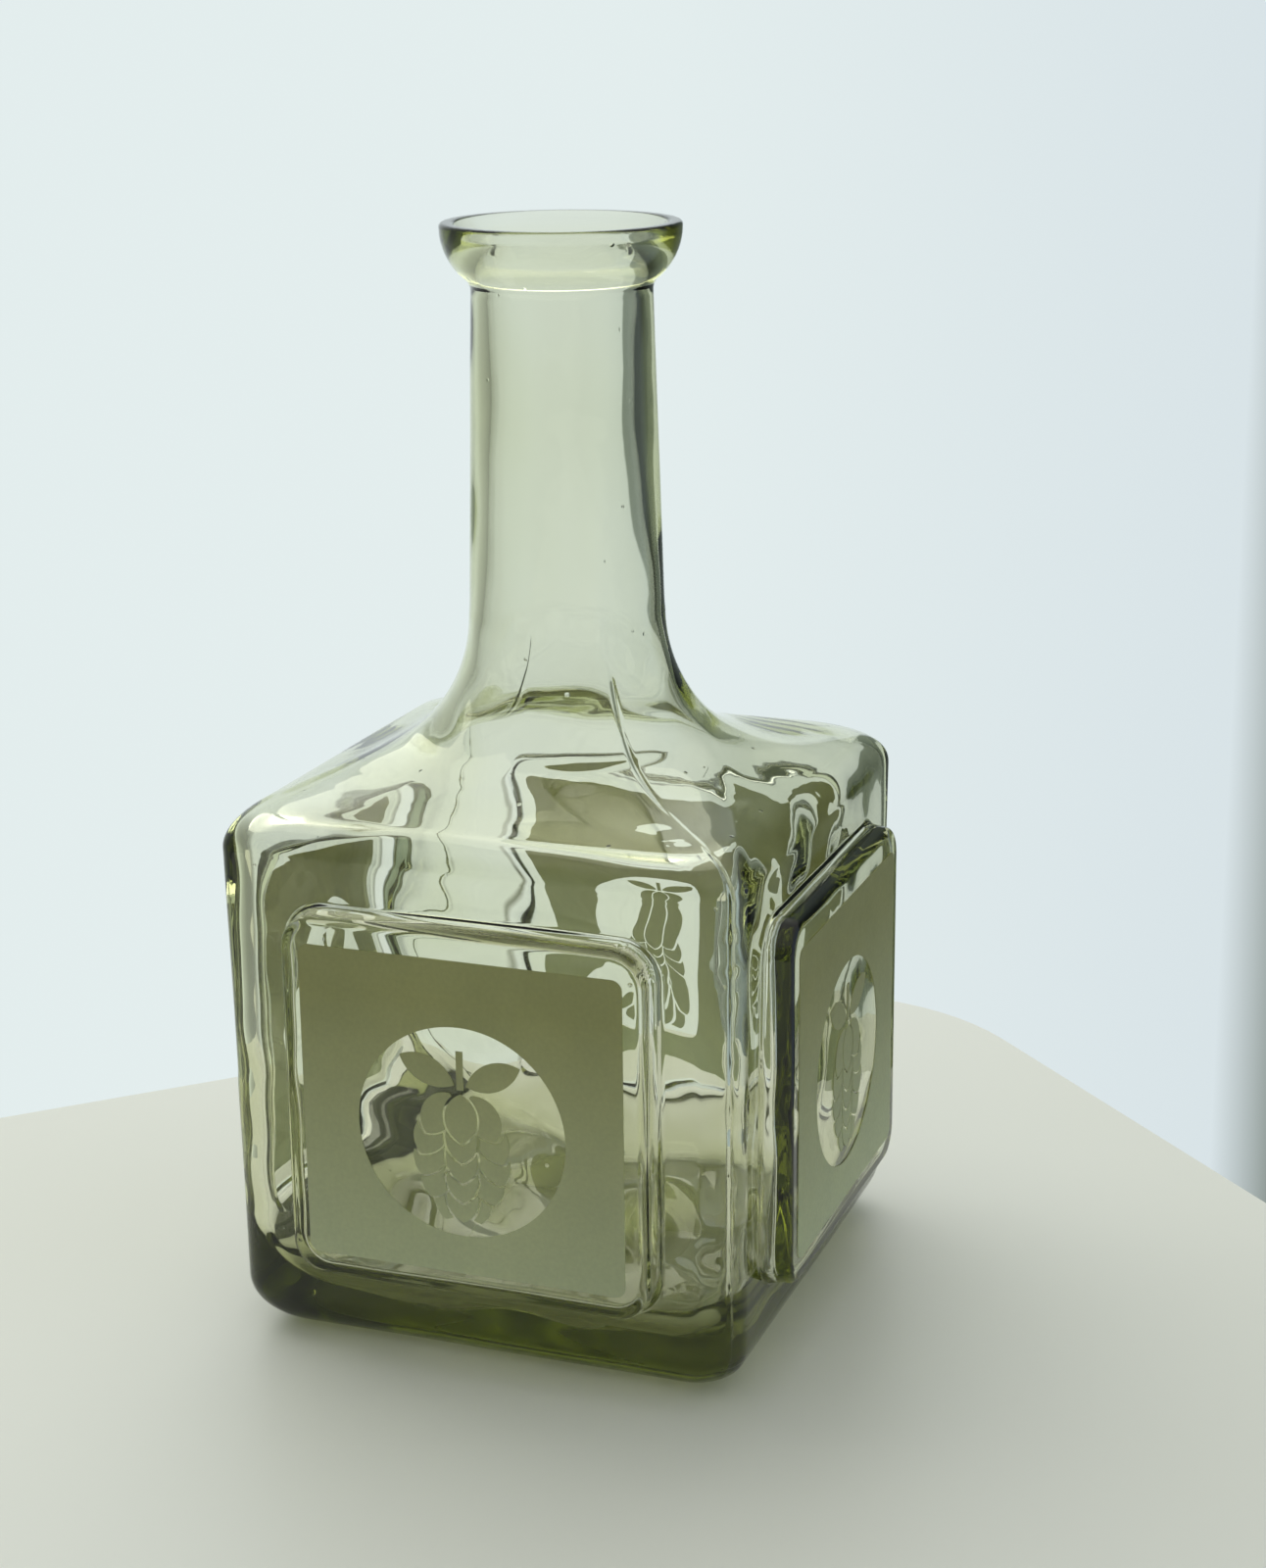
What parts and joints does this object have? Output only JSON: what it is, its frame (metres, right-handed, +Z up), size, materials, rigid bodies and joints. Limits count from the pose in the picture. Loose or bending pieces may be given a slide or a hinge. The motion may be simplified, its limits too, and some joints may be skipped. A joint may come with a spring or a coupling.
{
  "type": "square glass growler",
  "caption": "Square tinted-glass bottle with a sloping shoulder, tall round neck, cup-shaped lip and a raised satin panel on each side.",
  "frame": {"origin": "middle of the base on the resting plane", "axes": "+Z up along the neck, -Y out of the front face, +X out of the right face"},
  "size_m": [0.1354, 0.1354, 0.25],
  "materials": {
    "glass": "clear sage green glass",
    "satin": "satin frosted glass"
  },
  "bodies": {
    "root": {"glass_vessel": "glass", "front_field": "satin", "right_field": "satin", "back_field": "satin", "left_field": "satin", "front_motif": "satin", "right_motif": "satin", "back_motif": "satin", "left_motif": "satin"}
  },
  "joints": []
}
